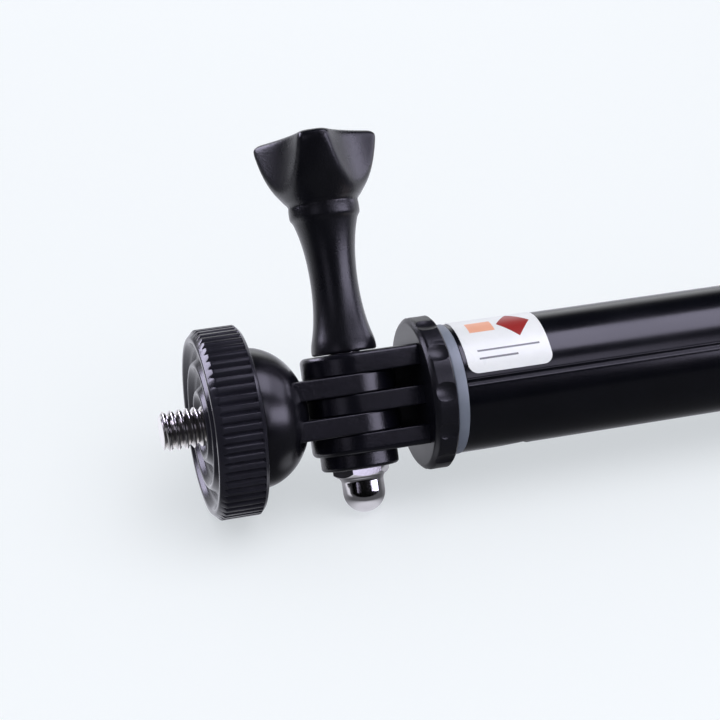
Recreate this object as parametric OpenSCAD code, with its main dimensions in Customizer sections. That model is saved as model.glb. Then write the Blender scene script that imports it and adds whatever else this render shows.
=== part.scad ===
// Telescopic hand-held camera pole, collapsed and lying on its side.
// X runs along the pole from the camera end to the strap end, and +Z is up.
// The origin is on the pole's axis, in the plane that the camera sits on.

/* [Camera wheel] */
// Outside diameter of the knurled wheel
wheel_d = 30; // [26:0.2:36]
// Width of the wheel from its camera seat to its back
wheel_w = 7.6; // [6.4:0.1:10]
// Chamfer on the wheel's front edge
wheel_chamfer = 1.1; // [0.6:0.1:1.4]
// Chamfer on the wheel's back edge
wheel_back_chamfer = 0.6; // [0.3:0.1:1]
// Number of knurl ribs round the wheel
knurl_count = 60; // [40:1:72]
// Depth of the grooves between the ribs
knurl_depth = 0.55; // [0.3:0.05:0.8]
// Width of the flat rim that the camera sits on
rim_w = 0.7; // [0.5:0.1:2]
// How far the dished face lies below the rim
dish_depth = 1.1; // [0.6:0.1:1.4]
// Outside diameter of the larger ring in the dished face
ring_d = 19.8; // [16:0.2:24]
// Outside diameter of the smaller ring, round the camera screw
inner_ring_d = 11.2; // [10:0.2:13]
// Thickness of each ring
ring_t = 0.75; // [0.6:0.05:1.2]

/* [Camera screw] */
// Thread diameter, a quarter inch
screw_d = 6.35; // [5.8:0.05:7]
// Length of screw beyond the camera seat
screw_out = 6.2; // [4:0.1:7]
// Width across the flats of the moulded-in hexagon
screw_hex = 9; // [8:0.1:9.6]
// Diameter of the journal behind the wheel
journal_d = 8; // [7:0.1:8.6]
// Thickness of the flange that keeps the screw in the adapter
screw_flange_t = 1.4; // [1:0.1:2]

/* [Tilt adapter] */
// Diameter of the adapter's dome
dome_d = 23.2; // [22.6:0.1:24]
// Distance from the wheel's back to the dome's front face
dome_gap = 0.7; // [0.6:0.05:1]
// Thickness of each adapter prong
prong_t = 3; // [2.6:0.1:3.4]
// Radius of the prong ends round the thumb screw
prong_r = 7.3; // [6.8:0.1:7.6]
// Distance from the camera seat to the thumb screw's axis
pivot_x = 24.5; // [24:0.1:28]
// Play between neighbouring prongs
prong_play = 0.15; // [0.1:0.05:0.25]

/* [Fork head] */
// Turn of the head about the pole, as it lies
head_roll = -33.4; // [-90:0.1:90]
// Thickness of the fork's middle prong
fork_mid_t = 2.9; // [2.6:0.1:3.2]
// Thickness of the fork's prong under the thumb screw
fork_top_t = 3.35; // [2.6:0.05:4]
// Thickness of the fork's prong over the nut
fork_low_t = 3.05; // [2.6:0.05:4]
// Rounding of the fork's outer edges
fork_round = 0.9; // [0.4:0.1:1.2]
// Diameter of the boss round the nut
boss_d = 12.4; // [11:0.1:13]
// Height of the boss
boss_h = 2.4; // [1.6:0.1:3]
// Distance from the thumb screw's axis to the collar's front face
fork_reach = 10.2; // [9.8:0.1:12]
// Outside diameter of the collar
collar_d = 24.6; // [23.6:0.1:26]
// Width of the collar
collar_w = 3.8; // [3.5:0.1:4.5]
// Front chamfer of the collar
collar_chamfer = 0.7; // [0.3:0.1:1]
// Number of finger notches in the collar
notch_count = 12; // [6:1:14]
// Radius of a finger notch
notch_r = 2; // [1.4:0.1:2.4]
// Depth of a finger notch at the collar's back
notch_depth = 0.95; // [0.4:0.05:1.2]

/* [Thumb screw] */
// Thread diameter of the thumb screw
bolt_d = 5; // [4:0.1:5.2]
// Diameter of the handle where it meets the fork
shank_base_d = 10.5; // [10:0.1:12]
// Diameter of the handle's waist
shank_waist_d = 7.5; // [7:0.1:8.5]
// Length of the waisted shank
shank_len = 21.3; // [16:0.1:26]
// Diameter of the band at the handle's neck
neck_d = 11.3; // [10.6:0.1:12]
// Height of the band
neck_h = 2.4; // [1.5:0.1:3.5]
// Diameter across the lobes of the handle's head
lobe_d = 20; // [18:0.2:26]
// Height of the lobed head
lobe_h = 10.4; // [8:0.1:13]
// Radius of the scallops between the lobes
scallop_r = 24; // [8:0.5:40]
// Radius left at the bottom of a scallop, at the head's top
scallop_floor = 6; // [5.8:0.1:7]
// Lean of the scallops, which are shallower low down
scallop_lean = 8; // [0:0.5:12]
// Width across the flats of the cap nut
nut_hex = 8; // [7:0.1:8.6]
// Diameter of the cap nut's dome
nut_dome_d = 6.7; // [6.2:0.1:7.6]
// Height of the cap nut below the boss
nut_out = 7.1; // [6:0.1:8]

/* [Pole] */
// Outside diameter of the outer tube
tube_d = 20.8; // [19:0.2:22]
// Wall of every tube
tube_wall = 0.8; // [0.6:0.05:0.9]
// Length of the outer tube
tube_len = 190; // [160:1:260]
// Wall of the plastic bush between two tubes
bush_wall = 0.75; // [0.6:0.05:0.9]
// Depth of a bush inside its tube
bush_depth = 12; // [8:0.5:16]
// Width of the grey flange at the outer tube's mouth
mouth_flange_w = 1.9; // [1.2:0.1:2.5]
// Width of the flanges on the inner bushes
inner_flange_w = 1.1; // [0.8:0.1:1.3]
// How far the mouth flange stands out past the tube
flange_lip = 0.1; // [0:0.05:0.4]
// Depth of the crimp under the tube's mouth
crimp_depth = 0.4; // [0.2:0.05:0.5]
// Width of the fine line along the outer tube
line_w = 0.7; // [0.4:0.1:1.2]
// Depth of the fine line
line_depth = 0.2; // [0.1:0.05:0.3]

/* [Twist locks] */
// Length of the stud's plug in its tube
plug_len = 9; // [6:0.5:14]
// Length of a split sleeve
sleeve_len = 10; // [8:0.5:12]
// Width of the slit in a sleeve
slit_w = 1.2; // [0.8:0.1:2]
// Wall of a sleeve at its open end
sleeve_wall = 1.7; // [1.5:0.1:2]
// How much the stud's cone grows along the sleeve
cone_rise = 1.6; // [1:0.1:2]

/* [Handle] */
// Diameter of the foam grip
grip_d = 30; // [27:0.2:34]
// Length of the foam grip
grip_len = 105; // [80:1:120]
// Thickness of the end cap's flange
cap_t = 5; // [4:0.5:8]
// Radius of the strap eyelet's hole
eyelet_r = 2.3; // [1.8:0.1:3]
// Wall of the eyelet round its hole
eyelet_wall = 3; // [2:0.1:4]
// Thickness of the eyelet
eyelet_t = 5; // [4:0.5:7]

/* [Label] */
// Length of the label along the pole
label_len = 14; // [10:0.5:20]
// Span of the label round the tube in degrees
label_span = 84; // [40:1:120]
// Thickness of the label
label_t = 0.12; // [0.08:0.02:0.2]

/* [Hidden] */

$fn = 64;

// Fits, as gaps between two surfaces
run_fit = 0.05;
bolt_fit = 0.08;
seat_fit = 0.02;
face_gap = 0.2;
nest_gap = 0.3;
eps = 0.01;

// Wheel and screw, as radii and as places along X
wheel_r = wheel_d / 2;
rim_r = wheel_r - wheel_chamfer;
dish_r = rim_r - rim_w;
ring_r = ring_d / 2;
inner_ring_r = inner_ring_d / 2;
screw_r = screw_d / 2;
screw_tip = 0.5;
neck_step = 0.45;
neck_r = screw_r - neck_step;
neck_len = 1.2;
hex_x0 = dish_depth + neck_len;
hex_t = 2.6;
journal_r = journal_d / 2;
journal_x0 = hex_x0 + hex_t;

// Adapter, from the wheel's back towards the pivot
washer_t = dome_gap - face_gap;
dome_x0 = wheel_w + dome_gap;
dome_r = dome_d / 2;
dome_sink = 2.6;
dome_centre_x = dome_x0 - dome_sink;
dome_a0 = asin((dome_x0 - dome_centre_x) / dome_r);
washer_r = 8.8;
plate_r = 7.4;
plate_t = 1.5;
pocket_x0 = dome_x0 + plate_t;
flange_x0 = pocket_x0 + face_gap;
flange_r = 5.6;
pocket_r = flange_r + nest_gap;
pocket_x1 = flange_x0 + screw_flange_t + face_gap;
pocket_floor = 3.2;
slot_r = pivot_x - pocket_x1 - pocket_floor;
swing_gap = 2;
swing_r = prong_r + swing_gap;

// Prong stack, as heights along the thumb screw's axis
mid_z = fork_mid_t / 2;
prong_z0 = mid_z + prong_play;
prong_z1 = prong_z0 + prong_t;
outer_z0 = prong_z1 + prong_play;
fork_top_z = outer_z0 + fork_top_t;
fork_low_z = -outer_z0 - fork_low_t;
boss_z = fork_low_z - boss_h;
bolt_r = bolt_d / 2;
bolt_hole_r = bolt_r + bolt_fit;
boss_round = 0.6;

// Web behind the fork's slots, which clears the adapter's prongs
web_gap = 0.3;
web_inset = 0.6;
web_x0 = prong_r + web_gap;
web_half = prong_r - web_inset;

// Thumb screw, as heights along its axis
knob_z0 = fork_top_z + face_gap;
washer_h = 0.8;
washer_rim = 1.4;
washer_out_r = bolt_r + washer_rim;
shank_foot_h = 1.6;
shank_foot_r = shank_base_d / 2 - 0.1;
band_z0 = knob_z0 + shank_len;
head_z0 = band_z0 + neck_h;
head_z1 = head_z0 + lobe_h;
lobe_r = lobe_d / 2;
lobe_turn = -103.5;
lobe_round = 0.9;
lobe_crown = 0.2;
lobe_flare = 0.23;
lobe_bulge = 0.3;
scallop_over = 1 + scallop_r * sin(scallop_lean);
band_r = neck_d / 2;
band_step = 0.4;
band_edge = 0.25;
bolt_head_r = 3.6;
bolt_head_rise = 5;
bolt_head_h = 3;
bolt_head_z0 = knob_z0 + bolt_head_rise;
bolt_head_z1 = bolt_head_z0 + bolt_head_h;
nut_seat = 1.6;
nut_top_z = fork_low_z + nut_seat;
nut_hex_out = 1.3;
nut_hex_low_z = boss_z - nut_hex_out;
nut_chamfer = 0.1;
nut_flare_r = nut_hex * 1.6;
nut_tip_z = boss_z - nut_out;
nut_dome_r = nut_dome_d / 2;
bolt_end_gap = 0.6;
bolt_z0 = nut_tip_z + nut_dome_r + bolt_end_gap;
nut_bore_gap = 0.5;

// Nested tubes: outside radii from the outer tube inwards
radius_step = tube_wall + bush_wall + run_fit;
tube_r = tube_d / 2;
wide_r = tube_r - radius_step;
middle_r = wide_r - radius_step;
slim_r = middle_r - radius_step;
slim_bore = slim_r - tube_wall;

// Mouths of the tubes, which nest inside the collar
collar_x0 = pivot_x + fork_reach;
collar_x1 = collar_x0 + collar_w;
mouth_gap = 0.4;
mouth_x = collar_x1 + mouth_gap + mouth_flange_w;
wide_mouth_x = mouth_x - mouth_flange_w - nest_gap;
middle_mouth_x = wide_mouth_x - inner_flange_w - nest_gap;
slim_mouth_x = middle_mouth_x - inner_flange_w - nest_gap;
bush_lip = 0.4;
wide_flange_r = wide_r + bush_lip;
middle_flange_r = middle_r + bush_lip;
spigot_len = 16;
pin_r = 1;
pin_inset = 9;
pin_x = slim_mouth_x + pin_inset;
pin_short = 0.6;
collar_r = collar_d / 2;
collar_back_chamfer = 0.3;
notch_tilt = 9;
notch_start = 0.7;

// Twist locks: where each tube ends and how far its stud reaches
stud_flange_t = 1;
stud_end_t = 1.2;
lock_len = stud_flange_t + face_gap + sleeve_len + face_gap + stud_end_t;
stack_gap = 1.5;
cone_land = 2;
stud_step = 0.1;
stud_end_gap = 0.6;
tube_x1 = mouth_x + tube_len;
cap_plug_len = 10;
wide_x1 = tube_x1 - cap_plug_len - stack_gap - lock_len;
middle_x1 = wide_x1 - plug_len - stack_gap - lock_len;
slim_x1 = middle_x1 - plug_len - stack_gap - lock_len;

// Handle
grip_r = grip_d / 2;
grip_x0 = tube_x1 - grip_len;
grip_round = 3;
cap_round = 1.5;
cap_x1 = tube_x1 + cap_t;
eyelet_neck = 1.2;
eyelet_x = cap_x1 + eyelet_r + eyelet_neck;
label_inset = 0.7;
label_x0 = mouth_x + label_inset;
view_side = 180 + head_roll;
label_turn = 11;
label_low = view_side - label_turn - label_span;
line_turn = 4;
line_side = view_side - line_turn;
crimp_side = view_side + 90;
crimp_inset = 5.3;
crimp_x0 = mouth_x + crimp_inset;
crimp_len = 6.3;

// A point on a circle, and a run of points along an arc
function on_arc(c, r, a) = [c[0] + r * cos(a), c[1] + r * sin(a)];
function arc(c, r, a0, a1, n = 6) = [for (i = [0 : n]) on_arc(c, r, a0 + (a1 - a0) * i / n)];
// A point on a smooth curve through three heights, by its share of the way
function bend(a, b, c, t) = (1 - t) * (1 - t) * a + 2 * t * (1 - t) * b + t * t * c;

module rod(x0, x1, r) {
    translate([x0, 0, 0]) rotate([0, 90, 0]) cylinder(h = x1 - x0, r = r);
}

module hex_rod(x0, x1, flats) {
    translate([x0, 0, 0]) rotate([0, 90, 0]) cylinder(h = x1 - x0, d = flats / cos(30), $fn = 6);
}

// Turns an outline of [radius, place along X] points round the pole's axis
module turned(outline) {
    rotate([0, 90, 0]) rotate_extrude() polygon(outline);
}

module pipe(x0, x1, r, bore) {
    difference() {
        rod(x0, x1, r);
        rod(x0 - 1, x1 + 1, bore);
    }
}

// Places its children at the thumb screw, with Z along that screw
module in_head() {
    translate([pivot_x, 0, 0]) rotate([head_roll, 0, 0]) children();
}

// Places its children at an angle round the pole, with Z pointing outwards
module round_pole(angle) {
    rotate([angle - 90, 0, 0]) children();
}

// Camera end

module camera_screw() {
    color("silver") union() {
        turned([
            [0, -screw_out], [screw_r - screw_tip, -screw_out], [screw_r, screw_tip - screw_out],
            [screw_r, dish_depth], [neck_r, dish_depth], [neck_r, hex_x0 + eps], [0, hex_x0 + eps]
        ]);
        hex_rod(hex_x0, journal_x0, screw_hex);
        rod(journal_x0 - eps, flange_x0, journal_r);
        rod(flange_x0 - eps, flange_x0 + screw_flange_t, flange_r);
    }
}

// Rim outline with the knurl's flat-topped ribs and sloping flanks
function knurl_outline(r, depth, n) = [
    for (i = [0 : n - 1], k = [[-0.25, 0], [0.15, 0], [0.35, depth], [0.55, depth]])
        on_arc([0, 0], r - k[1], 360 * (i + k[0]) / n)
];

// The dished face, less the two rings that stand in it
module wheel_dish() {
    difference() {
        rod(-1, dish_depth, dish_r);
        for (r = [ring_r, inner_ring_r])
            pipe(-2, dish_depth + 1, r, r - ring_t);
    }
}

module camera_wheel() {
    color("#1d1d28") difference() {
        intersection() {
            rotate([0, 90, 0]) linear_extrude(height = wheel_w)
                polygon(knurl_outline(wheel_r, knurl_depth, knurl_count));
            turned([
                [0, 0], [rim_r, 0], [wheel_r + eps, wheel_chamfer + eps],
                [wheel_r + eps, wheel_w - wheel_back_chamfer], [wheel_r - wheel_back_chamfer, wheel_w],
                [0, wheel_w]
            ]);
        }
        wheel_dish();
        rod(0, hex_x0 + eps, neck_r + seat_fit);
        hex_rod(hex_x0, journal_x0, screw_hex + 2 * seat_fit);
        rod(journal_x0 - eps, wheel_w + 1, journal_r + seat_fit);
    }
}

module wheel_washer() {
    color("#c9ccd2") pipe(dome_x0 - washer_t, dome_x0, washer_r, journal_r + face_gap);
}

module retainer_plate() {
    color("#9aa0a8") pipe(dome_x0, pocket_x0, plate_r, journal_r + run_fit);
}

// Two prongs and their domed base, about the thumb screw's axis
module adapter_body() {
    root_x = dome_centre_x - pivot_x + dome_r / 2;
    difference() {
        translate([-pivot_x, 0, 0])
            turned(concat([[0, dome_x0]], arc([0, dome_centre_x], dome_r, dome_a0, 90, 14)));
        cylinder(h = 2 * dome_d, r = swing_r, center = true);
    }
    for (side = [0, 1])
        mirror([0, 0, side]) translate([0, 0, prong_z0]) {
            cylinder(h = prong_t, r = prong_r);
            translate([root_x, -prong_r, 0]) cube([-root_x, 2 * prong_r, prong_t]);
        }
}

module tilt_adapter() {
    color("#0b101a") in_head() difference() {
        adapter_body();
        cylinder(h = 3 * prong_z1, r = bolt_hole_r, center = true);
        cylinder(h = 2 * prong_z0, r = slot_r, center = true);
        translate([-pivot_x, 0, 0]) {
            rod(dome_x0 - 1, pocket_x0, plate_r + seat_fit);
            rod(pocket_x0 - eps, pocket_x1, pocket_r);
        }
    }
}

// Fork, collar and thumb screw

// Half outline of a prong across its width, with its outer edges rounded
function prong_outline(t, round_r) = concat(
    [[0, 0], [prong_r, 0]],
    arc([prong_r - round_r, t - round_r], round_r, 0, 90, 5),
    [[0, t]]
);

// A prong from the collar to its round end, standing up from Z = 0
module fork_prong(t, round_r) {
    half = prong_outline(t, round_r);
    reach = fork_reach + eps;
    rotate_extrude() polygon(half);
    rotate([90, 0, 90]) linear_extrude(height = reach) polygon(half);
    mirror([0, 1, 0]) rotate([90, 0, 90]) linear_extrude(height = reach) polygon(half);
}

module fork_prongs() {
    translate([0, 0, -mid_z]) {
        cylinder(h = fork_mid_t, r = prong_r);
        translate([0, -prong_r, 0]) cube([fork_reach + eps, 2 * prong_r, fork_mid_t]);
    }
    translate([web_x0, -web_half, -outer_z0 - eps])
        cube([fork_reach + eps - web_x0, 2 * web_half, 2 * (outer_z0 + eps)]);
    translate([0, 0, outer_z0]) fork_prong(fork_top_t, fork_round);
    mirror([0, 0, 1]) translate([0, 0, outer_z0]) fork_prong(fork_low_t, fork_round);
    mirror([0, 0, 1]) rotate_extrude() polygon(concat(
        [[0, outer_z0], [boss_d / 2, outer_z0]],
        arc([boss_d / 2 - boss_round, -boss_z - boss_round], boss_round, 0, 90, 4),
        [[0, -boss_z]]
    ));
}

// Collar and spigot along the pole, open at the back for the inner mouths
module fork_collar() {
    well_x0 = slim_mouth_x;
    step_x = middle_mouth_x;
    difference() {
        turned([
            [0, collar_x0], [collar_r - collar_chamfer, collar_x0],
            [collar_r, collar_x0 + collar_chamfer], [collar_r, collar_x1 - collar_back_chamfer],
            [collar_r - collar_back_chamfer, collar_x1], [wide_flange_r + nest_gap, collar_x1],
            [wide_flange_r + nest_gap, step_x], [middle_flange_r + nest_gap, step_x],
            [middle_flange_r + nest_gap, well_x0], [slim_bore - seat_fit, well_x0],
            [slim_bore - seat_fit, well_x0 + spigot_len], [0, well_x0 + spigot_len]
        ]);
        for (i = [0 : notch_count - 1])
            rotate([360 * i / notch_count, 0, 0])
                translate([collar_x1, 0, collar_r + notch_r - notch_depth])
                    rotate([0, -90 - notch_tilt, 0])
                        cylinder(h = collar_w - notch_start, r = notch_r);
        translate([pin_x, 0, 0]) cylinder(h = 2 * collar_r, r = pin_r + seat_fit, center = true);
    }
}

module fork_head() {
    color("#17171f") difference() {
        union() {
            in_head() fork_prongs();
            rotate([head_roll, 0, 0]) fork_collar();
        }
        in_head() {
            translate([0, 0, boss_z - 1]) cylinder(h = fork_top_z - boss_z + 2, r = bolt_hole_r);
            translate([0, 0, boss_z - 1])
                cylinder(h = nut_top_z - boss_z + 1, d = (nut_hex + 2 * seat_fit) / cos(30), $fn = 6);
        }
    }
}

module spigot_pin() {
    color("silver") rotate([head_roll, 0, 0]) translate([pin_x, 0, 0])
        cylinder(h = 2 * slim_r - pin_short, r = pin_r, center = true);
}

module thumb_washer() {
    color("silver") in_head() translate([0, 0, knob_z0]) difference() {
        cylinder(h = washer_h, r = washer_out_r);
        translate([0, 0, -1]) cylinder(h = washer_h + 2, r = bolt_hole_r);
    }
}

module thumb_bolt() {
    color("silver") in_head() {
        translate([0, 0, bolt_z0]) cylinder(h = bolt_head_z0 - bolt_z0 + eps, r = bolt_r);
        translate([0, 0, bolt_head_z0])
            cylinder(h = bolt_head_z1 - bolt_head_z0, r = bolt_head_r, $fn = 6);
    }
}

// Half outline of the handle: foot, waisted shank, band and flared head
function knob_outline() = concat(
    [[0, knob_z0], [shank_base_d / 2, knob_z0], [shank_foot_r, knob_z0 + shank_foot_h]],
    [for (i = [1 : 12]) [
        bend(shank_foot_r, shank_waist_d - band_r + band_step, band_r - band_step, i / 12),
        knob_z0 + shank_foot_h + (shank_len - shank_foot_h) * i / 12
    ]],
    [[band_r, band_z0 + band_edge], [band_r, head_z0 - band_edge], [band_r - band_edge, head_z0]],
    [for (i = [1 : 8]) [
        bend(band_r - band_edge, lobe_r + lobe_bulge, lobe_r, i / 8),
        bend(head_z0, head_z0 + lobe_flare * lobe_h, head_z1 - lobe_round, i / 8)
    ]],
    arc([lobe_r - lobe_round, head_z1 - lobe_round], lobe_round, 15, 90, 4),
    [[0, head_z1 + lobe_crown]]
);

module thumb_knob() {
    color("#23232c") in_head() difference() {
        rotate_extrude() polygon(knob_outline());
        for (i = [0 : 2])
            rotate([0, 0, lobe_turn + 60 + 120 * i])
                translate([scallop_floor + scallop_r, 0, head_z1])
                    rotate([0, -scallop_lean, 0]) translate([0, 0, -lobe_h])
                        cylinder(h = lobe_h + scallop_over, r = scallop_r);
        translate([0, 0, knob_z0 - 1]) {
            cylinder(h = bolt_head_z1 - knob_z0 + 1, r = bolt_r + seat_fit);
            cylinder(h = washer_h + face_gap + 1, r = washer_out_r + face_gap);
        }
        translate([0, 0, bolt_head_z0])
            cylinder(h = bolt_head_z1 - bolt_head_z0 + seat_fit, r = bolt_head_r + seat_fit, $fn = 6);
    }
}

module cap_nut() {
    tip = nut_tip_z + nut_dome_r;
    color("#d8d6d8") in_head() difference() {
        union() {
            intersection() {
                translate([0, 0, nut_hex_low_z])
                    cylinder(h = nut_top_z - nut_hex_low_z, d = nut_hex / cos(30), $fn = 6);
                translate([0, 0, nut_hex_low_z])
                    cylinder(
                        h = nut_top_z - nut_hex_low_z,
                        r1 = nut_hex / 2 - nut_chamfer,
                        r2 = nut_flare_r
                    );
            }
            translate([0, 0, tip]) cylinder(h = nut_hex_low_z - tip + eps, r = nut_dome_r);
            translate([0, 0, tip]) sphere(r = nut_dome_r);
        }
        translate([0, 0, bolt_z0 - nut_bore_gap]) cylinder(h = nut_top_z - bolt_z0 + 1, r = bolt_hole_r);
    }
}

// Telescopic tubes, bushes and twist locks

// Flanged bush in a tube's mouth that guides the next tube
module bush(x, flange_w, flange_r, tube_r, inner_r) {
    difference() {
        union() {
            rod(x - flange_w, x, flange_r);
            rod(x - eps, x + bush_depth, tube_r - tube_wall - seat_fit);
        }
        rod(x - flange_w - 1, x + bush_depth + 1, inner_r + run_fit);
    }
}

// Cone radius at the sleeve's open end, for a lock inside a tube of the given bore
function cone_r(bore) = bore - run_fit - sleeve_wall;

// Stud fixed in a tube's end, with the cone that spreads the sleeve
module lock_stud(x1, r, bore) {
    big = cone_r(bore);
    small = big - cone_rise;
    s0 = x1 + stud_flange_t;
    s1 = s0 + sleeve_len + 2 * face_gap;
    turned([
        [0, x1 - plug_len], [r - tube_wall - seat_fit, x1 - plug_len], [r - tube_wall - seat_fit, x1],
        [r - stud_step, x1], [r - stud_step, s0], [small, s0], [small, s0 + cone_land],
        [big, s1 - cone_land], [big, s1], [bore - stud_end_gap, s1],
        [bore - stud_end_gap, s1 + stud_end_t], [0, s1 + stud_end_t]
    ]);
}

// Split sleeve round the stud's cone, which grips the tube outside it
module lock_sleeve(x1, bore) {
    big = cone_r(bore) + run_fit;
    small = big - cone_rise;
    s0 = x1 + stud_flange_t;
    s1 = s0 + sleeve_len + 2 * face_gap;
    outer = bore - run_fit;
    difference() {
        turned([
            [small, s0 + face_gap], [outer, s0 + face_gap], [outer, s1 - face_gap], [big, s1 - face_gap],
            [big, s1 - cone_land], [small, s0 + cone_land]
        ]);
        translate([s0, -slit_w / 2, 0]) cube([sleeve_len + 1, slit_w, bore * 2]);
    }
}

module slim_tube() {
    color("#1b1e27") difference() {
        pipe(slim_mouth_x, slim_x1, slim_r, slim_bore);
        rotate([head_roll, 0, 0]) translate([pin_x, 0, 0])
            cylinder(h = 4 * slim_r, r = pin_r + seat_fit, center = true);
    }
}

module slim_lock_stud() { color("#8f949c") lock_stud(slim_x1, slim_r, middle_r - tube_wall); }

module slim_lock_sleeve() { color("#d9dbe0") lock_sleeve(slim_x1, middle_r - tube_wall); }

module middle_tube() { color("#1b1e27") pipe(middle_mouth_x, middle_x1, middle_r, middle_r - tube_wall); }

module middle_bush() {
    color("#969bad") bush(middle_mouth_x, inner_flange_w, middle_flange_r, middle_r, slim_r);
}

module middle_lock_stud() { color("#8f949c") lock_stud(middle_x1, middle_r, wide_r - tube_wall); }

module middle_lock_sleeve() { color("#d9dbe0") lock_sleeve(middle_x1, wide_r - tube_wall); }

module wide_tube() { color("#1b1e27") pipe(wide_mouth_x, wide_x1, wide_r, wide_r - tube_wall); }

module wide_bush() {
    color("#969bad") bush(wide_mouth_x, inner_flange_w, wide_flange_r, wide_r, middle_r);
}

module wide_lock_stud() { color("#8f949c") lock_stud(wide_x1, wide_r, tube_r - tube_wall); }

module wide_lock_sleeve() { color("#d9dbe0") lock_sleeve(wide_x1, tube_r - tube_wall); }

module mouth_bush() {
    color("#969bad") bush(mouth_x, mouth_flange_w, tube_r + flange_lip, tube_r, wide_r);
}

// Crimp behind the mouth: a ramp into the wall that ends in a step
module crimp_cut() {
    tilt = atan(crimp_depth / crimp_len);
    translate([crimp_x0, 0, tube_r]) rotate([0, tilt, 0])
        translate([0, -tube_r, 0]) cube([crimp_len, 2 * tube_r, tube_r]);
}

module outer_tube() {
    color("#14171f") difference() {
        pipe(mouth_x, tube_x1, tube_r, tube_r - tube_wall);
        round_pole(crimp_side) crimp_cut();
        round_pole(line_side) translate([0, 0, tube_r + line_w / 2 - line_depth])
            rod(mouth_x - 1, tube_x1 + 1, line_w / 2);
    }
}

// Handle and label

module grip() {
    bore = tube_r + seat_fit;
    color("#2a2a2e") turned(concat(
        [[bore, grip_x0]],
        arc([grip_r - grip_round, grip_x0 + grip_round], grip_round, -90, 0, 6),
        [[grip_r, tube_x1], [bore, tube_x1]]
    ));
}

module end_cap() {
    plug_r = tube_r - tube_wall - seat_fit;
    ear_r = eyelet_r + eyelet_wall;
    color("#1f2026") difference() {
        union() {
            turned(concat(
                [[0, tube_x1 - cap_plug_len], [plug_r, tube_x1 - cap_plug_len], [plug_r, tube_x1],
                 [grip_r, tube_x1]],
                arc([grip_r - cap_round, cap_x1 - cap_round], cap_round, 0, 90, 5),
                [[0, cap_x1]]
            ));
            translate([eyelet_x, 0, 0]) rotate([90, 0, 0])
                cylinder(h = eyelet_t, r = ear_r, center = true);
            translate([cap_x1 - 1, -eyelet_t / 2, -ear_r])
                cube([eyelet_x - cap_x1 + 1, eyelet_t, 2 * ear_r]);
        }
        translate([eyelet_x, 0, 0]) rotate([90, 0, 0])
            cylinder(h = eyelet_t + 2, r = eyelet_r, center = true);
    }
}

module label() {
    color("#f3f3fc") rotate([label_low, 0, 0]) rotate([0, 90, 0]) translate([0, 0, label_x0])
        rotate([0, 0, 90]) rotate_extrude(angle = label_span)
            translate([tube_r, 0]) square([label_t, label_len]);
}

camera_screw();
camera_wheel();
wheel_washer();
retainer_plate();
tilt_adapter();
fork_head();
spigot_pin();
thumb_washer();
thumb_bolt();
thumb_knob();
cap_nut();
slim_tube();
slim_lock_stud();
slim_lock_sleeve();
middle_tube();
middle_bush();
middle_lock_stud();
middle_lock_sleeve();
wide_tube();
wide_bush();
wide_lock_stud();
wide_lock_sleeve();
outer_tube();
mouth_bush();
grip();
end_cap();
label();
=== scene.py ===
"""Looks of a telescopic hand-held camera pole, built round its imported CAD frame.

Sizes are in millimetres in the sub-assemblies and are scaled to metres when a piece is placed.
The studio is in metres. The pole's axis is X, with the camera seat at X = 0, and the table lies
under the pole.
"""

import logging
import math
from dataclasses import dataclass
from enum import Enum
from typing import Callable, Sequence

import bmesh
import bpy
from mathutils import Matrix, Vector


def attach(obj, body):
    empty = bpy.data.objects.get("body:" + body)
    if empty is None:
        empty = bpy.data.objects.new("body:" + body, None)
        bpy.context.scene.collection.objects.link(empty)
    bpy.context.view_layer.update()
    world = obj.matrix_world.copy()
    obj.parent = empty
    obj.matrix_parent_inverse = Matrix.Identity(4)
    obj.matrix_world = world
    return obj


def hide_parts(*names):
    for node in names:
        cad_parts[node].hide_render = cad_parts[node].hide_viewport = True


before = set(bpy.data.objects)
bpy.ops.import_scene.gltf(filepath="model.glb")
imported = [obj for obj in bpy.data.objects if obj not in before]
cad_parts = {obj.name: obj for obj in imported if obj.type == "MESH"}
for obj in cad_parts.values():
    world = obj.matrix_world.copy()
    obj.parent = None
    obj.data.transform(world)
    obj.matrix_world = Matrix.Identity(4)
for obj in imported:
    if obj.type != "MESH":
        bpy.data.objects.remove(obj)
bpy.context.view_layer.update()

LOG = logging.getLogger("camera_pole")
MM = 0.001
PIVOT_X = 24.5
HEAD_ROLL = math.radians(-33.4)
TABLE_Z = -15.0
BOLT_HOLE_R = 2.58
FULL_TURN = 2 * math.pi
HEX_COS = math.cos(math.pi / 6)
MERGE_GAP = 0.002
CUT_GAP = 0.0001
FACETS = (3, 18)
IOR = 1.5
HAZE_SCALE = 90.0

POLE = Matrix.Identity(4)
ROLLED = Matrix.Rotation(HEAD_ROLL, 4, "X")
HEAD = Matrix.Translation((PIVOT_X, 0, 0)) @ ROLLED
UPRIGHT = Matrix.Rotation(-math.pi / 2, 4, "Y")

ops = bmesh.ops
Corner = tuple[float, ...]
Colour = tuple[float, float, float]
Point = tuple[float, float, float]
Mesh = bmesh.types.BMesh
Edge = bmesh.types.BMEdge
Thing = bpy.types.Object
Material = bpy.types.Material
Tree = bpy.types.NodeTree
Node = bpy.types.Node
Socket = bpy.types.NodeSocket


class Op(Enum):
    """How one closed shape changes another."""

    CUT = "DIFFERENCE"
    KEEP = "INTERSECT"


class Relief(Enum):
    """The fine relief of a surface."""

    GRAIN = "moulded_grain"
    LINES = "turning_lines"
    PORES = "foam_pores"


# Mesh tools


def stored(name: str, bm: Mesh) -> bpy.types.Mesh:
    """Stores a mesh, which is used up, as mesh data."""
    data = bpy.data.meshes.new(name)
    bm.to_mesh(data)
    bm.free()
    return data


def linked(name: str, data: bpy.types.ID) -> Thing:
    """Makes an object of some data and puts it in the scene."""
    made = bpy.data.objects.new(name, data)
    bpy.context.scene.collection.objects.link(made)
    return made


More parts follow.
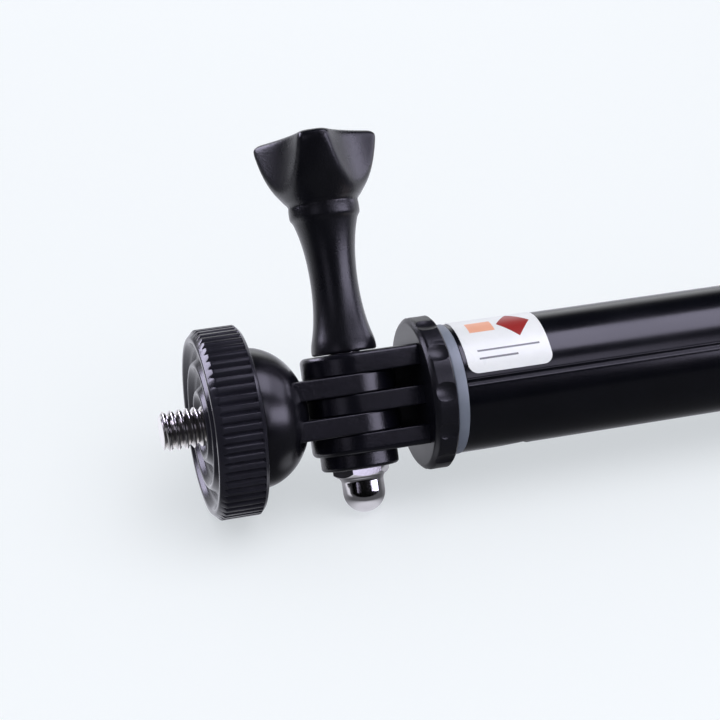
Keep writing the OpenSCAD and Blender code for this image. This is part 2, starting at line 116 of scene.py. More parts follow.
def everything(bm: Mesh) -> list:
    """Lists all points, edges and faces of a mesh."""
    return bm.verts[:] + bm.edges[:] + bm.faces[:]


def moved(bm: Mesh, matrix: Matrix) -> Mesh:
    """Moves a whole mesh and returns it."""
    ops.transform(bm, matrix=matrix, verts=bm.verts[:])
    return bm


def faced_out(bm: Mesh) -> Mesh:
    """Turns a mesh's faces outwards and returns it."""
    ops.recalc_face_normals(bm, faces=bm.faces[:])
    return bm


def outline(corners: Sequence[Corner], closed: bool = True) -> Mesh:
    """Draws a chain of edges in the XZ plane.

    Args:
        corners: Points as (x, z), or (x, z, round) for a corner rounded over that length.
        closed: Whether the last point joins the first.

    Returns:
        A mesh of edges alone.
    """
    bm = bmesh.new()
    points = [bm.verts.new((c[0], 0.0, c[1])) for c in corners]
    ends = points[1:] + points[:1] if closed else points[1:]
    for a, b in zip(points, ends):
        bm.edges.new((a, b))
    for point, corner in zip(points, corners):
        if len(corner) > 2:
            facets = max(FACETS[0], min(FACETS[1], int(4 + corner[2] * 2)))
            ops.bevel(
                bm, geom=[point], offset=corner[2], offset_type="OFFSET", affect="VERTICES",
                segments=facets, profile=0.5, material=-1,
            )
    return bm


def spun(bm: Mesh, turns: int, steps: int, rise: float = 0.0) -> None:
    """Sweeps a mesh's edges round the X axis, with a rise along it at each step."""
    ops.spin(
        bm, geom=bm.verts[:] + bm.edges[:], cent=(0, 0, 0), axis=(1, 0, 0), dvec=(rise, 0, 0),
        angle=FULL_TURN * turns, steps=steps, use_merge=rise == 0, use_normal_flip=False,
        use_duplicate=False,
    )


def turned(corners: Sequence[Corner], steps: int) -> Mesh:
    """Turns an outline round the X axis.

    Args:
        corners: The outline as (x, radius), with rounds as in outline(). It is a ring unless it
            starts on the axis, and then it ends there too.
        steps: Facets round the axis.

    Returns:
        A closed shape.
    """
    bm = outline(corners, closed=corners[0][1] > 0)
    spun(bm, 1, steps)
    ops.remove_doubles(bm, verts=bm.verts[:], dist=MERGE_GAP)
    return faced_out(bm)


def upright(corners: Sequence[Corner], steps: int = 96) -> Mesh:
    """Turns an open outline of (height, radius) corners round the Z axis."""
    return moved(turned(corners, steps), UPRIGHT)


def soften(bm: Mesh, radius: float, angle: float, segments: int,
           where: Callable[[Edge], bool]) -> Mesh:
    """Rounds the edges that turn by more than an angle.

    Args:
        bm: A closed shape.
        radius: Width of the round.
        angle: Least turn of an edge, in degrees.
        segments: Facets across the round.
        where: A test that narrows the choice of edges.

    Returns:
        The same mesh.
    """
    least = math.radians(angle)
    sharp = [
        e for e in bm.edges
        if len(e.link_faces) == 2 and e.calc_face_angle(0.0) > least and where(e)
    ]
    ops.bevel(
        bm, geom=sharp, offset=radius, offset_type="OFFSET", affect="EDGES", segments=segments,
        profile=0.5, material=-1, clamp_overlap=True,
    )
    return bm


def slab(corners: Sequence[Corner], low: float, high: float, low_round: float = 0.0,
         high_round: float = 0.0, segments: int = 3) -> Mesh:
    """Raises a flat outline in the XY plane into a plate with rounded rims.

    Args:
        corners: The outline as (x, y) or (x, y, round).
        low: Height of its underside.
        high: Height of its top.
        low_round: Round of the lower rim.
        high_round: Round of the upper rim.
        segments: Facets across a round.

    Returns:
        A closed plate.
    """
    bm = outline(corners)
    flat = Matrix.Rotation(-math.pi / 2, 3, "X")
    ops.rotate(bm, verts=bm.verts[:], cent=(0, 0, 0), matrix=flat)
    ops.remove_doubles(bm, verts=bm.verts[:], dist=MERGE_GAP)
    ops.edgeloop_fill(bm, edges=bm.edges[:])
    ops.translate(bm, verts=bm.verts[:], vec=(0, 0, low))
    raised = ops.extrude_face_region(bm, geom=bm.faces[:])["geom"]
    top = [g for g in raised if isinstance(g, bmesh.types.BMVert)]
    ops.translate(bm, verts=top, vec=(0, 0, high - low))
    faced_out(bm)
    for level, radius in ((low, low_round), (high, high_round)):
        if radius > 0:
            soften(
                bm, radius, angle=50, segments=segments,
                where=lambda e, z=level: all(abs(v.co.z - z) < CUT_GAP for v in e.verts),
            )
    return bm


def rod(radius: float, start: Sequence[float], end: Sequence[float], sides: int) -> Mesh:
    """Makes a round or many-sided bar between two points, as a tool for cuts and joins."""
    bm = bmesh.new()
    a, b = Vector(start), Vector(end)
    ops.create_cone(
        bm, cap_ends=True, segments=sides, radius1=radius, radius2=radius, depth=(b - a).length
    )
    turn = (b - a).to_track_quat("Z", "Y").to_matrix().to_4x4()
    return moved(bm, Matrix.Translation((a + b) / 2) @ turn)


def post(radius: float, low: float, high: float, sides: int) -> Mesh:
    """Makes a bar along Z between two heights."""
    return rod(radius, (0, 0, low), (0, 0, high), sides)


def ellipsoid(radius: float, stretch: Point, segments: int) -> Mesh:
    """Makes a ball that is stretched along its axes."""
    bm = bmesh.new()
    ops.create_uvsphere(bm, u_segments=segments, v_segments=segments // 2, radius=radius)
    ops.scale(bm, vec=stretch, verts=bm.verts[:])
    return bm


def square(half: float) -> Mesh:
    """Makes a flat square of that half width in the XY plane."""
    bm = bmesh.new()
    ops.create_grid(bm, x_segments=1, y_segments=1, size=half)
    return bm


def slice_off(bm: Mesh, x: float, side: int) -> None:
    """Cuts off what lies beyond a plane across X, on side 1 or -1, and closes the cut."""
    cut = ops.bisect_plane(
        bm, geom=everything(bm), plane_co=(x, 0, 0), plane_no=(side, 0, 0), clear_outer=True,
        dist=CUT_GAP,
    )["geom_cut"]
    ops.edgeloop_fill(bm, edges=[e for e in cut if isinstance(e, Edge)])


def join(*parts: Mesh) -> Mesh:
    """Puts several meshes, which are used up, into one as separate shells."""
    whole = bmesh.new()
    for part in parts:
        carrier = stored("carrier", part)
        whole.from_mesh(carrier)
        bpy.data.meshes.remove(carrier)
    return whole


def through_modifier(bm: Mesh, add: Callable[[Thing], None]) -> Mesh:
    """Passes a mesh, which is used up, through the modifiers that add() puts on an object."""
    data = stored("blank", bm)
    carrier = linked("blank", data)
    add(carrier)
    graph = bpy.context.evaluated_depsgraph_get()
    made = bpy.data.meshes.new_from_object(carrier.evaluated_get(graph))
    result = bmesh.new()
    result.from_mesh(made)
    bpy.data.objects.remove(carrier)
    bpy.data.meshes.remove(data)
    bpy.data.meshes.remove(made)
    return result


def combine(base: Mesh, tool: Mesh, op: Op) -> Mesh:
    """Cuts or trims one closed shape by another; both are used up."""
    data = stored("tool", tool)
    carrier = linked("tool", data)

    def add(target: Thing) -> None:
        """Puts the Boolean on the shape."""
        cut = target.modifiers.new("cut", "BOOLEAN")
        cut.solver, cut.operation, cut.object = "EXACT", op.value, carrier

    result = through_modifier(base, add)
    bpy.data.objects.remove(carrier)
    bpy.data.meshes.remove(data)
    return result


def bored(bm: Mesh, radius: float, sides: int, low: float = -9.0, high: float = 9.0) -> Mesh:
    """Bores a hole along Z between two heights."""
    return combine(bm, post(radius, low, high, sides), Op.CUT)


def melted(bm: Mesh, voxel: float, passes: int, head_z: float, head_passes: int) -> Mesh:
    """Skins a shape again in small even faces and smooths it, as soft moulded edges.

    Args:
        bm: A closed shape, used up.
        voxel: Size of the new faces.
        passes: Smoothing passes.
        head_z: Height above which the shape is smoothed more.
        head_passes: Smoothing passes above that height.

    Returns:
        The soft shape.
    """

    def add(target: Thing) -> None:
        """Puts the Remesh on the shape."""
        skin = target.modifiers.new("skin", "REMESH")
        skin.mode, skin.voxel_size = "VOXEL", voxel

    soft = through_modifier(bm, add)
    head = [v for v in soft.verts if v.co.z > head_z]
    for verts, count in ((soft.verts[:], passes), (head, head_passes)):
        for _ in range(count):
            ops.smooth_vert(
                soft, verts=verts, factor=0.5, use_axis_x=True, use_axis_y=True, use_axis_z=True
            )
    return soft


# Materials


class Nodes:
    """A node tree being filled."""

    def __init__(self, tree: Tree) -> None:
        """Starts on a tree."""
        self.tree = tree

    def wire(self, node: Node, inputs: dict[str | int, object]) -> None:
        """Links each named input to a socket, or sets it to a value."""
        for key, value in inputs.items():
            if isinstance(value, Socket):
                self.tree.links.new(value, node.inputs[key])
            else:
                node.inputs[key].default_value = value

    def add(self, kind: str, inputs: dict[str | int, object] | None = None, **own: object) -> Node:
        """Adds a node, sets its own properties, then links or sets inputs by name or number."""
        node = self.tree.nodes.new(kind)
        for key, value in own.items():
            setattr(node, key, value)
        self.wire(node, inputs or {})
        return node

    def math(self, operation: str, *terms: object) -> Socket:
        """Adds one step of arithmetic on sockets or numbers."""
        node = self.add("ShaderNodeMath", dict(enumerate(terms)), operation=operation)
        return node.outputs[0]

    def ramp(self, source: Socket, ends: Sequence[object], kind: str = "SMOOTHSTEP") -> Socket:
        """Maps a range to another; ends are from-low, from-high, to-low and to-high."""
        keys = ("Value", "From Min", "From Max", "To Min", "To Max")
        inputs = dict(zip(keys, (source, *ends)))
        return self.add("ShaderNodeMapRange", inputs, interpolation_type=kind).outputs[0]

    def mix(self, share: Socket, a: object, b: object) -> Socket:
        """Mixes two colours by a share."""
        inputs = {"Factor": share, "A": a, "B": b}
        return self.add("ShaderNodeMix", inputs, data_type="RGBA").outputs["Result"]

    def noise(self, given: Node, detail: float, roughness: float = 0.5,
              vector: Socket | None = None) -> Socket:
        """Adds a noise of a group's scale, at the group's Vector or another one."""
        return self.add("ShaderNodeTexNoise", {
            "Vector": given.outputs["Vector"] if vector is None else vector,
            "Scale": given.outputs["Scale"], "Detail": detail, "Roughness": roughness,
        }).outputs[0]

    def blend(self, share: Socket, a: Socket, b: Socket) -> Socket:
        """Blends two shaders by a share."""
        return self.add("ShaderNodeMixShader", {0: share, 1: a, 2: b}).outputs[0]

    def glow(self, kind: str, colour: Colour, strength: object) -> Socket:
        """Adds an emission or a background of a colour and a strength."""
        return self.add(kind, {"Color": (*colour, 1.0), "Strength": strength}).outputs[0]


class Shader(Nodes):
    """A material being made, with its shader and its Object coordinates."""

    def __init__(self, name: str) -> None:
        """Starts a material of that name."""
        self.material = bpy.data.materials.new(name)
        self.material.use_nodes = True
        super().__init__(self.material.node_tree)
        self.tree.nodes.clear()
        self.bsdf = self.add("ShaderNodeBsdfPrincipled")
        self.output = self.add("ShaderNodeOutputMaterial", {"Surface": self.bsdf.outputs[0]})
        self.at = self.add("ShaderNodeTexCoord").outputs["Object"]

    def effect(self, tree: Tree, **values: object) -> Socket:
        """Places a shared effect, on Object coordinates, with its own values."""
        inputs = {"Vector": self.at, **values}
        return self.add("ShaderNodeGroup", inputs, node_tree=tree).outputs[0]

    def bump(self, height: Socket, depth: float) -> Socket:
        """Turns a height of 0 to 1 into relief of that depth in metres."""
        inputs = {"Strength": 1.0, "Distance": depth, "Height": height}
        return self.add("ShaderNodeBump", inputs).outputs["Normal"]


class Effects:
    """The shader node groups that several finishes share."""

    LINE_SQUEEZE: Point = (1.0, 0.03, 0.03)

    def __init__(self) -> None:
        """Builds each group once."""
        fills = {Relief.GRAIN: self._grain, Relief.LINES: self._lines, Relief.PORES: self._pores}
        self.relief = {kind: self._group(kind.value, {}, fill) for kind, fill in fills.items()}
        inks, levels = {"Dark": "Color", "Light": "Color"}, {"Low": "Float", "High": "Float"}
        self.drift = self._group("colour_drift", inks, self._drift, "Color")
        self.haze = self._group("handling_haze", levels, self._haze)

    @staticmethod
    def _group(name: str, inputs: dict[str, str], fill: Callable[[Nodes, Node], Socket],
               output: str = "Float") -> Tree:
        """Builds a group with a Vector, a Scale, the given inputs and one output.

        Args:
            name: The group's name.
            inputs: Names and socket kinds.
            fill: Adds the nodes between the input node and the socket it returns.
            output: Socket kind of the output.

        Returns:
            The group.
        """
        tree = bpy.data.node_groups.new(name, "ShaderNodeTree")
        add = tree.interface.new_socket
        for key, kind in {"Vector": "Vector", "Scale": "Float", **inputs}.items():
            add(key, in_out="INPUT", socket_type="NodeSocket" + kind)
        add("Result", in_out="OUTPUT", socket_type="NodeSocket" + output)
        nodes = Nodes(tree)
        given = nodes.add("NodeGroupInput")
        nodes.add("NodeGroupOutput", {"Result": fill(nodes, given)})
        return tree

    @staticmethod
    def _grain(nodes: Nodes, given: Node) -> Socket:
        """Fine leather-like grain of a moulded plastic part."""
        return nodes.noise(given, 3.0, 0.6)

    def _lines(self, nodes: Nodes, given: Node) -> Socket:
        """Fine lines left round a turned or drawn part, across its X axis."""
        inputs = {0: given.outputs["Vector"], 1: self.LINE_SQUEEZE}
        squeeze = nodes.add("ShaderNodeVectorMath", inputs, operation="MULTIPLY")
        return nodes.noise(given, 2.0, vector=squeeze.outputs[0])

    @staticmethod
    def _pores(nodes: Nodes, given: Node) -> Socket:
        """Open cells at the skin of a foam."""
        cells = nodes.add("ShaderNodeTexVoronoi", {
            "Vector": given.outputs["Vector"], "Scale": given.outputs["Scale"], "Smoothness": 0.35,
        }, feature="SMOOTH_F1")
        return nodes.math("ADD", cells.outputs["Distance"], nodes.noise(given, 4.0))

    @staticmethod
    def _drift(nodes: Nodes, given: Node) -> Socket:
        """Slow change between two close colours, as in a moulded or dyed surface."""
        share = nodes.ramp(nodes.noise(given, 5.0, 0.65), (0.3, 0.7, 0.0, 1.0), "LINEAR")
        return nodes.mix(share, given.outputs["Dark"], given.outputs["Light"])

    @staticmethod
    def _haze(nodes: Nodes, given: Node) -> Socket:
        """Patches where handling has dulled or polished a surface."""
        ends = (0.32, 0.68, given.outputs["Low"], given.outputs["High"])
        return nodes.ramp(nodes.noise(given, 6.0), ends, "LINEAR")


@dataclass(frozen=True)
class Finish:
    """A surface: colours, gloss and fine relief."""

    name: str
    slot: str
    dark: Colour
    light: Colour
    low_rough: float
    high_rough: float
    metallic: float = 0.0
    relief: Relief = Relief.GRAIN
    relief_scale: float = 4000.0
    relief_depth: float = 0.00001
    drift_scale: float = 150.0
    sheen: float = 0.0

    def shader(self, effects: Effects) -> Shader:
        """Builds the material's nodes of the shared groups; a label may still add to them."""
        made = Shader(self.name)
        relief = made.effect(effects.relief[self.relief], Scale=self.relief_scale)
        inks = {"Dark": (*self.dark, 1.0), "Light": (*self.light, 1.0)}
        made.wire(made.bsdf, {
            "Metallic": self.metallic,
            "IOR": IOR,
            "Sheen Weight": self.sheen,
            "Base Color": made.effect(effects.drift, Scale=self.drift_scale, **inks),
            "Roughness": made.effect(
                effects.haze, Scale=HAZE_SCALE, Low=self.low_rough, High=self.high_rough
            ),
            "Normal": made.bump(relief, self.relief_depth),
        })
        return made


class Finishes:
    """Every finish of the pole, made once and handed out by name."""

    SATIN_BLACK = Finish(
        "satin_black", "black_satin", (0.0022, 0.0023, 0.005), (0.0045, 0.0046, 0.0085), 0.24, 0.33,
        relief_scale=3400, relief_depth=0.00003,
    )
    WHEEL_BLACK = Finish(
        "wheel_black", "black_satin", (0.0125, 0.012, 0.019), (0.019, 0.0183, 0.0285), 0.17, 0.24,
        relief_scale=3600, relief_depth=0.000006,
    )
    PRONG_BLACK = Finish(
        "prong_black", "black_gloss", (0.0022, 0.0022, 0.005), (0.0048, 0.0046, 0.0095), 0.2, 0.26,
        relief_scale=3200, relief_depth=0.00003,
    )
    DOME_BLACK = Finish(
        "dome_black", "black_gloss", (0.0022, 0.0022, 0.0046), (0.004, 0.004, 0.0075), 0.2, 0.26,
        relief_scale=3600, relief_depth=0.000008,
    )
    COLLAR_BLACK = Finish(
        "collar_black", "black_gloss", (0.0035, 0.0035, 0.0068), (0.007, 0.007, 0.0125), 0.29, 0.36,
        relief_scale=3400, relief_depth=0.00002,
    )
    ANODISED = Finish(
        "black_anodised", "black_anodised", (0.0014, 0.0017, 0.0036), (0.0028, 0.0032, 0.006),
        0.17, 0.22, relief=Relief.LINES, relief_scale=9000, relief_depth=0.000003,
    )
    CHROME = Finish(
        "chrome", "chrome", (0.72, 0.7, 0.71), (0.8, 0.78, 0.79), 0.05, 0.11, metallic=1.0,
        relief_scale=3000, relief_depth=0.000003,
    )
    STEEL = Finish(
        "turned_steel", "steel", (0.66, 0.64, 0.63), (0.8, 0.78, 0.76), 0.16, 0.26, metallic=1.0,
        relief=Relief.LINES, relief_scale=7000, relief_depth=0.000008,
    )
    NYLON = Finish(
        "grey_nylon", "grey_nylon", (0.19, 0.215, 0.28), (0.23, 0.255, 0.33), 0.34, 0.46,
        relief_scale=3500, relief_depth=0.000012,
    )
    LOCK_METAL = Finish(
        "lock_metal", "lock_metal", (0.34, 0.35, 0.37), (0.46, 0.47, 0.49), 0.26, 0.4, metallic=1.0,
        relief=Relief.LINES, relief_scale=5000, relief_depth=0.00001,
    )
    FOAM = Finish(
        "foam", "foam", (0.012, 0.012, 0.014), (0.024, 0.024, 0.027), 0.8, 0.95,
        relief=Relief.PORES, relief_scale=1400, relief_depth=0.0004, sheen=0.12, drift_scale=60,
    )
    FILM = Finish(
        "label_film", "label_film", (0.8, 0.81, 0.86), (0.88, 0.885, 0.93), 0.26, 0.36,
        relief_scale=900, relief_depth=0.000006,
    )

    def __init__(self) -> None:
        """Makes the shared effects."""
        self.effects = Effects()
        self._made: dict[str, Material] = {}

    def material(self, finish: Finish) -> Material:
        """Returns a finish's material, made on first use."""
        if finish.name not in self._made:
            self._made[finish.name] = finish.shader(self.effects).material
        return self._made[finish.name]


# Sub-assemblies


@dataclass
class Assembly:
    """A sub-assembly, which places its pieces with the pole's finishes."""

    finishes: Finishes

    def place(self, name: str, bm: Mesh, matrix: Matrix, body: str, nodes: Sequence[str],
              finish: Finish, sharp: float,
              material: Material | None = None) -> Thing:
        """Makes a finished piece of a mesh.

        Args:
            name: The piece's name.
            bm: Its mesh in millimetres, used up.
            matrix: Where the mesh goes, in millimetres.
            body: The CAD body it rides on.
            nodes: The CAD nodes it stands for.
            finish: Its finish.
            sharp: Edges that turn by more than this many degrees stay crisp.
            material: Its material, where it is not the finish's own.

        Returns:
            The piece.
        """
        data = stored(name, moved(bm, Matrix.Scale(MM, 4) @ matrix))
        data.shade_smooth()
        data.set_sharp_from_angle(angle=math.radians(sharp))
        data.materials.append(material or self.finishes.material(finish))
        piece = linked(name, data)
        weighted = piece.modifiers.new("weighted_normals", "WEIGHTED_NORMAL")
        weighted.keep_sharp = True
        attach(piece, body)
        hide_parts(*nodes)
        LOG.info("%s: %d faces on %s", name, len(data.polygons), body)
        return piece


@dataclass
class CameraScrew(Assembly):
    """Quarter-inch steel screw with its thread, moulded into the wheel."""

    radius: float = 3.175
    pitch: float = 1.27
    depth: float = 0.72
    flank: float = 0.36
    crest_inset: float = 0.02
    crest_round: float = 0.12
    around: int = 60
    out: float = 6.2
    seat: float = 1.1
    tip: float = 0.55
    shank: tuple[Corner, ...] = (
        (1.0, 0), (1.0, 2.72), (2.4, 2.72), (2.4, 3.9), (4.9, 3.9), (4.9, 3.99), (10.0, 3.99),
        (10.0, 5.6, 0.2), (11.4, 5.6, 0.2), (11.4, 0),
    )
    hex_flats: float = 9.0
    hex_x: tuple[float, float] = (2.3, 4.9)

    def thread(self) -> Mesh:
        """Winds one pitch of the thread's outline into a helix and trims it to length."""
        root, crest = self.radius - self.depth, self.radius - self.crest_inset
        start = -self.out - 2 * self.pitch
        turns = math.ceil((self.out + self.seat) / self.pitch) + 3
        bm = outline([
            (start, root), (start + self.flank * self.pitch, crest, self.crest_round),
            (start + (1 - self.flank) * self.pitch, crest, self.crest_round),
            (start + self.pitch, root),
        ], closed=False)
        spun(bm, turns, self.around * turns, self.pitch / self.around)
        ops.remove_doubles(bm, verts=bm.verts[:], dist=2 * MERGE_GAP)
        slice_off(bm, -self.out, -1)
        slice_off(bm, self.seat, 1)
        return faced_out(bm)

    def build(self) -> None:
        """Builds and places the screw, its end chamfered, with the shank inside wheel and dome."""
        over = self.radius + 0.05
        blank = turned([
            (-self.out, 0), (-self.out, self.radius - self.tip, 0.15), (self.tip - self.out, over),
            (self.seat, over), (self.seat, 0),
        ], 96)
        thread = combine(self.thread(), blank, Op.KEEP)
        shank = turned(self.shank, 64)
        start, end = ((x, 0, 0) for x in self.hex_x)
        flats = rod(self.hex_flats / 2 / HEX_COS, start, end, 6)
        self.place(
            "quarter_inch_screw", join(thread, join(shank, flats)), POLE, "wheel",
            ["camera_screw"], Finishes.STEEL, 40,
        )


@dataclass
class CameraWheel(Assembly):
    """Knurled wheel with a dished face and two rings in it."""

    radius: float = 15.0
    width: float = 7.6
    chamfer: float = 1.1
    back_chamfer: float = 0.6
    ribs: int = 60
    rib_steps: int = 10
    rib_power: int = 7
    groove: float = 0.5
    rim: float = 0.7
    dish: float = 1.1
    rings: tuple[float, float] = (9.9, 5.6)
    ring_t: float = 0.75
    slope: float = 0.95
    journal_r: float = 4.02
    pocket_r: float = 5.25
    pocket_x: tuple[float, float] = (2.3, 4.92)
    screw_r: float = 2.75

    def build(self) -> None:
        """Builds and places the wheel."""
        r, rim_r = self.radius, self.radius - self.chamfer
        dish_r, back_x = rim_r - self.rim, self.width - self.back_chamfer
        pocket_x0, pocket_x1 = self.pocket_x
        corners: list[Corner] = [
            (0, rim_r, 0.18), (self.chamfer, r, 0.1), (self.chamfer + 0.22, r), (back_x - 0.2, r),
            (back_x, r), (self.width, r - self.back_chamfer, 0.12), (self.width, self.journal_r),
            (pocket_x1, self.journal_r), (pocket_x1, self.pocket_r), (pocket_x0, self.pocket_r),
            (pocket_x0, self.screw_r), (self.dish, self.screw_r),
        ]
        for ring_r in reversed(self.rings):
            inner = ring_r - self.ring_t
            corners += [
                (self.dish, inner - self.slope, 0.5), (0, inner + 0.12, 0.2),
                (0, ring_r - 0.12, 0.2), (self.dish, ring_r + self.slope, 0.5),
            ]
        corners += [(self.dish, dish_r - self.slope, 0.5), (0, dish_r, 0.2)]
        bm = turned(corners, self.rib_steps * self.ribs)
        for v in bm.verts:
            reach = v.co.yz.length
            if reach > r - 0.16 and v.co.x < back_x - 0.1:
                share = math.atan2(v.co.z, v.co.y) / FULL_TURN * self.ribs
                depth = self.groove * abs(math.cos(math.pi * share)) ** self.rib_power
                v.co.yz *= 1 - depth / reach
                if v.co.x < self.chamfer + 0.15:
                    v.co.x -= depth
        self.place(
            "knurled_wheel", bm, ROLLED, "wheel", ["camera_wheel"], Finishes.WHEEL_BLACK, 28
        )


@dataclass
class TiltAdapter(Assembly):
    """Dome behind the wheel with the two prongs of the tilt joint."""

    dome_r: float = 11.2
    dome_half: float = 9.3
    dome_x: float = 7.9
    face_x: float = 8.3
    recess: tuple[Corner, ...] = (
        (7.0, 0), (7.0, 7.42), (9.8, 7.42), (9.8, 5.9), (11.6, 5.9), (11.6, 0),
    )
    scoop_r: float = 9.3
    scoop_z: float = 30.0
    scoop_edge: float = 0.2
    slot_r: float = 9.0
    slot_z: float = 1.53
    prong_r: float = 7.3
    prong_t: float = 3.15
    root: float = -13.0
    edge: float = 0.28

    def dome(self) -> Mesh:
        """Makes the dome, scooped out for the fork, with the recess for the screw's flange."""
        bm = ellipsoid(self.dome_r, (1, 1, self.dome_half / self.dome_r), 128)
        moved(bm, Matrix.Translation((self.dome_x, 0, 0)) @ Matrix.Rotation(math.pi / 2, 4, "Y"))
        slice_off(bm, self.face_x, -1)
        bm = combine(faced_out(bm), turned(self.recess, 64), Op.CUT)
        moved(bm, Matrix.Translation((-PIVOT_X, 0, 0)))
        for radius, z in ((self.scoop_r, self.scoop_z), (self.slot_r, self.slot_z)):
            bm = bored(bm, radius, 160, -z, z)
        return soften(bm, self.scoop_edge, angle=35, segments=2, where=lambda e: all(
            abs(v.co.xy.length - self.scoop_r) < 0.02 and abs(v.co.z) > self.slot_z + 0.5
            for v in e.verts
        ))

    def prong(self, side: int) -> Mesh:
        """Makes one prong with its bolt hole; side is 1 or -1."""
        low, high = sorted((side * self.slot_z, side * (self.slot_z + self.prong_t)))
        r = self.prong_r
        corners = [(self.root, -r), (r, -r, r), (r, r, r), (self.root, r)]
        return bored(slab(corners, low, high, self.edge, self.edge), BOLT_HOLE_R, 48)

    def build(self) -> None:
        """Builds and places the dome and its prongs."""
        prongs = join(self.prong(1), self.prong(-1))
        for name, bm, finish, sharp in (
            ("tilt_dome", self.dome(), Finishes.DOME_BLACK, 32),
            ("tilt_prongs", prongs, Finishes.PRONG_BLACK, 40),
        ):
            self.place(name, bm, HEAD, "adapter", ["tilt_adapter"], finish, sharp)


@dataclass
class ForkHead(Assembly):
    """Three-pronged fork on a notched collar, with its spigot in the slimmest tube."""

    prong_r: float = 7.3
    reach: float = 10.9
    outer_z: float = 4.71
    top_z: float = 8.1
    low_z: float = -7.8
    mid_z: float = 1.5
    edge: float = 0.9
    fine_edge: float = 0.25
    boss_r: float = 6.2
    boss_z: float = -10.2
    boss_round: float = 0.6
    hole_z: tuple[float, float] = (-9.4, 12.0)
    web_x: float = 7.34
    web_half: float = 0.8
    web_round: float = 0.3
    collar_x: tuple[float, float] = (34.7, 38.5)
    collar_r: float = 12.3
    collar_chamfer: float = 0.7
    spigot: tuple[Corner, ...] = (
        (38.5, 9.5), (37.2, 9.5), (37.2, 7.9), (35.8, 7.9), (35.8, 4.78), (51.8, 4.78), (51.8, 0),
    )
    notches: int = 12
    notch_r: float = 3.4
    notch_depth: float = 0.45
    notch_long: float = 1.25
    notch_shift: float = 0.15
    notch_edge: float = 0.1

    def prong(self, low: float, high: float, low_round: float, high_round: float) -> Mesh:
        """Makes one prong between two heights."""
        r = self.prong_r
        corners = [(-r, -r, r), (self.reach, -r), (self.reach, r), (-r, r, r)]
        return slab(corners, low, high, low_round, high_round, 4)

    def prongs(self) -> Mesh:
        """Makes the three prongs, the upper two bored for the bolt, and the boss round the nut."""
        fine, boss_top = self.fine_edge, -self.outer_z - 0.5
        upper = [
            bored(prong, BOLT_HOLE_R, 48, *self.hole_z) for prong in (
                self.prong(self.outer_z, self.top_z, fine, self.edge),
                self.prong(-self.mid_z, self.mid_z, fine, fine),
            )
        ]
        boss = upright([
            (self.boss_z, 0), (self.boss_z, self.boss_r, self.boss_round), (boss_top, self.boss_r),
            (boss_top, 0),
        ])
        low = join(self.prong(self.low_z, -self.outer_z, self.edge, fine), boss)
        return join(*upper, low)

    def collar(self) -> Mesh:
        """Makes the collar with its finger notches, the spigot behind and the web before it."""
        (x0, x1), r, c = self.collar_x, self.collar_r, self.collar_chamfer
        bm = turned([
            (x0, 0), (x0, r - c, 0.25), (x0 + c, r, 0.25), (x1 - 0.3, r), (x1, r - 0.3),
            *self.spigot,
        ], 240)
        at = ((x0 + x1) / 2 + self.notch_shift, 0, r + self.notch_r - self.notch_depth)
        for i in range(self.notches):
            tool = ellipsoid(self.notch_r, (self.notch_long, 1, 1), 64)
            turn = Matrix.Rotation(FULL_TURN * i / self.notches, 4, "X")
            bm = combine(bm, moved(tool, turn @ Matrix.Translation(at)), Op.CUT)
        soften(
            bm, self.notch_edge, angle=24, segments=2,
            where=lambda e: abs(e.verts[0].co.yz.length - r) < 0.35 and all(
                x0 + 0.2 < v.co.x < x1 - 0.1 and v.co.yz.length > r - 1.2 for v in e.verts
            ),
        )
        half, end, high = self.web_half, self.reach - 0.1, self.outer_z + 0.1
        web = slab([
            (self.web_x, -half, self.web_round), (end, -half), (end, half),
            (self.web_x, half, self.web_round),
        ], -high, high)
        return join(bm, moved(web, Matrix.Translation((PIVOT_X, 0, 0))))

    def build(self) -> None:
        """Builds and places the fork and the collar."""
        for name, bm, matrix, finish, sharp in (
            ("notched_collar", self.collar(), ROLLED, Finishes.COLLAR_BLACK, 30),
            ("fork_prongs", self.prongs(), HEAD, Finishes.PRONG_BLACK, 40),
        ):
            self.place(name, bm, matrix, "slim_section", ["fork_head"], finish, sharp)


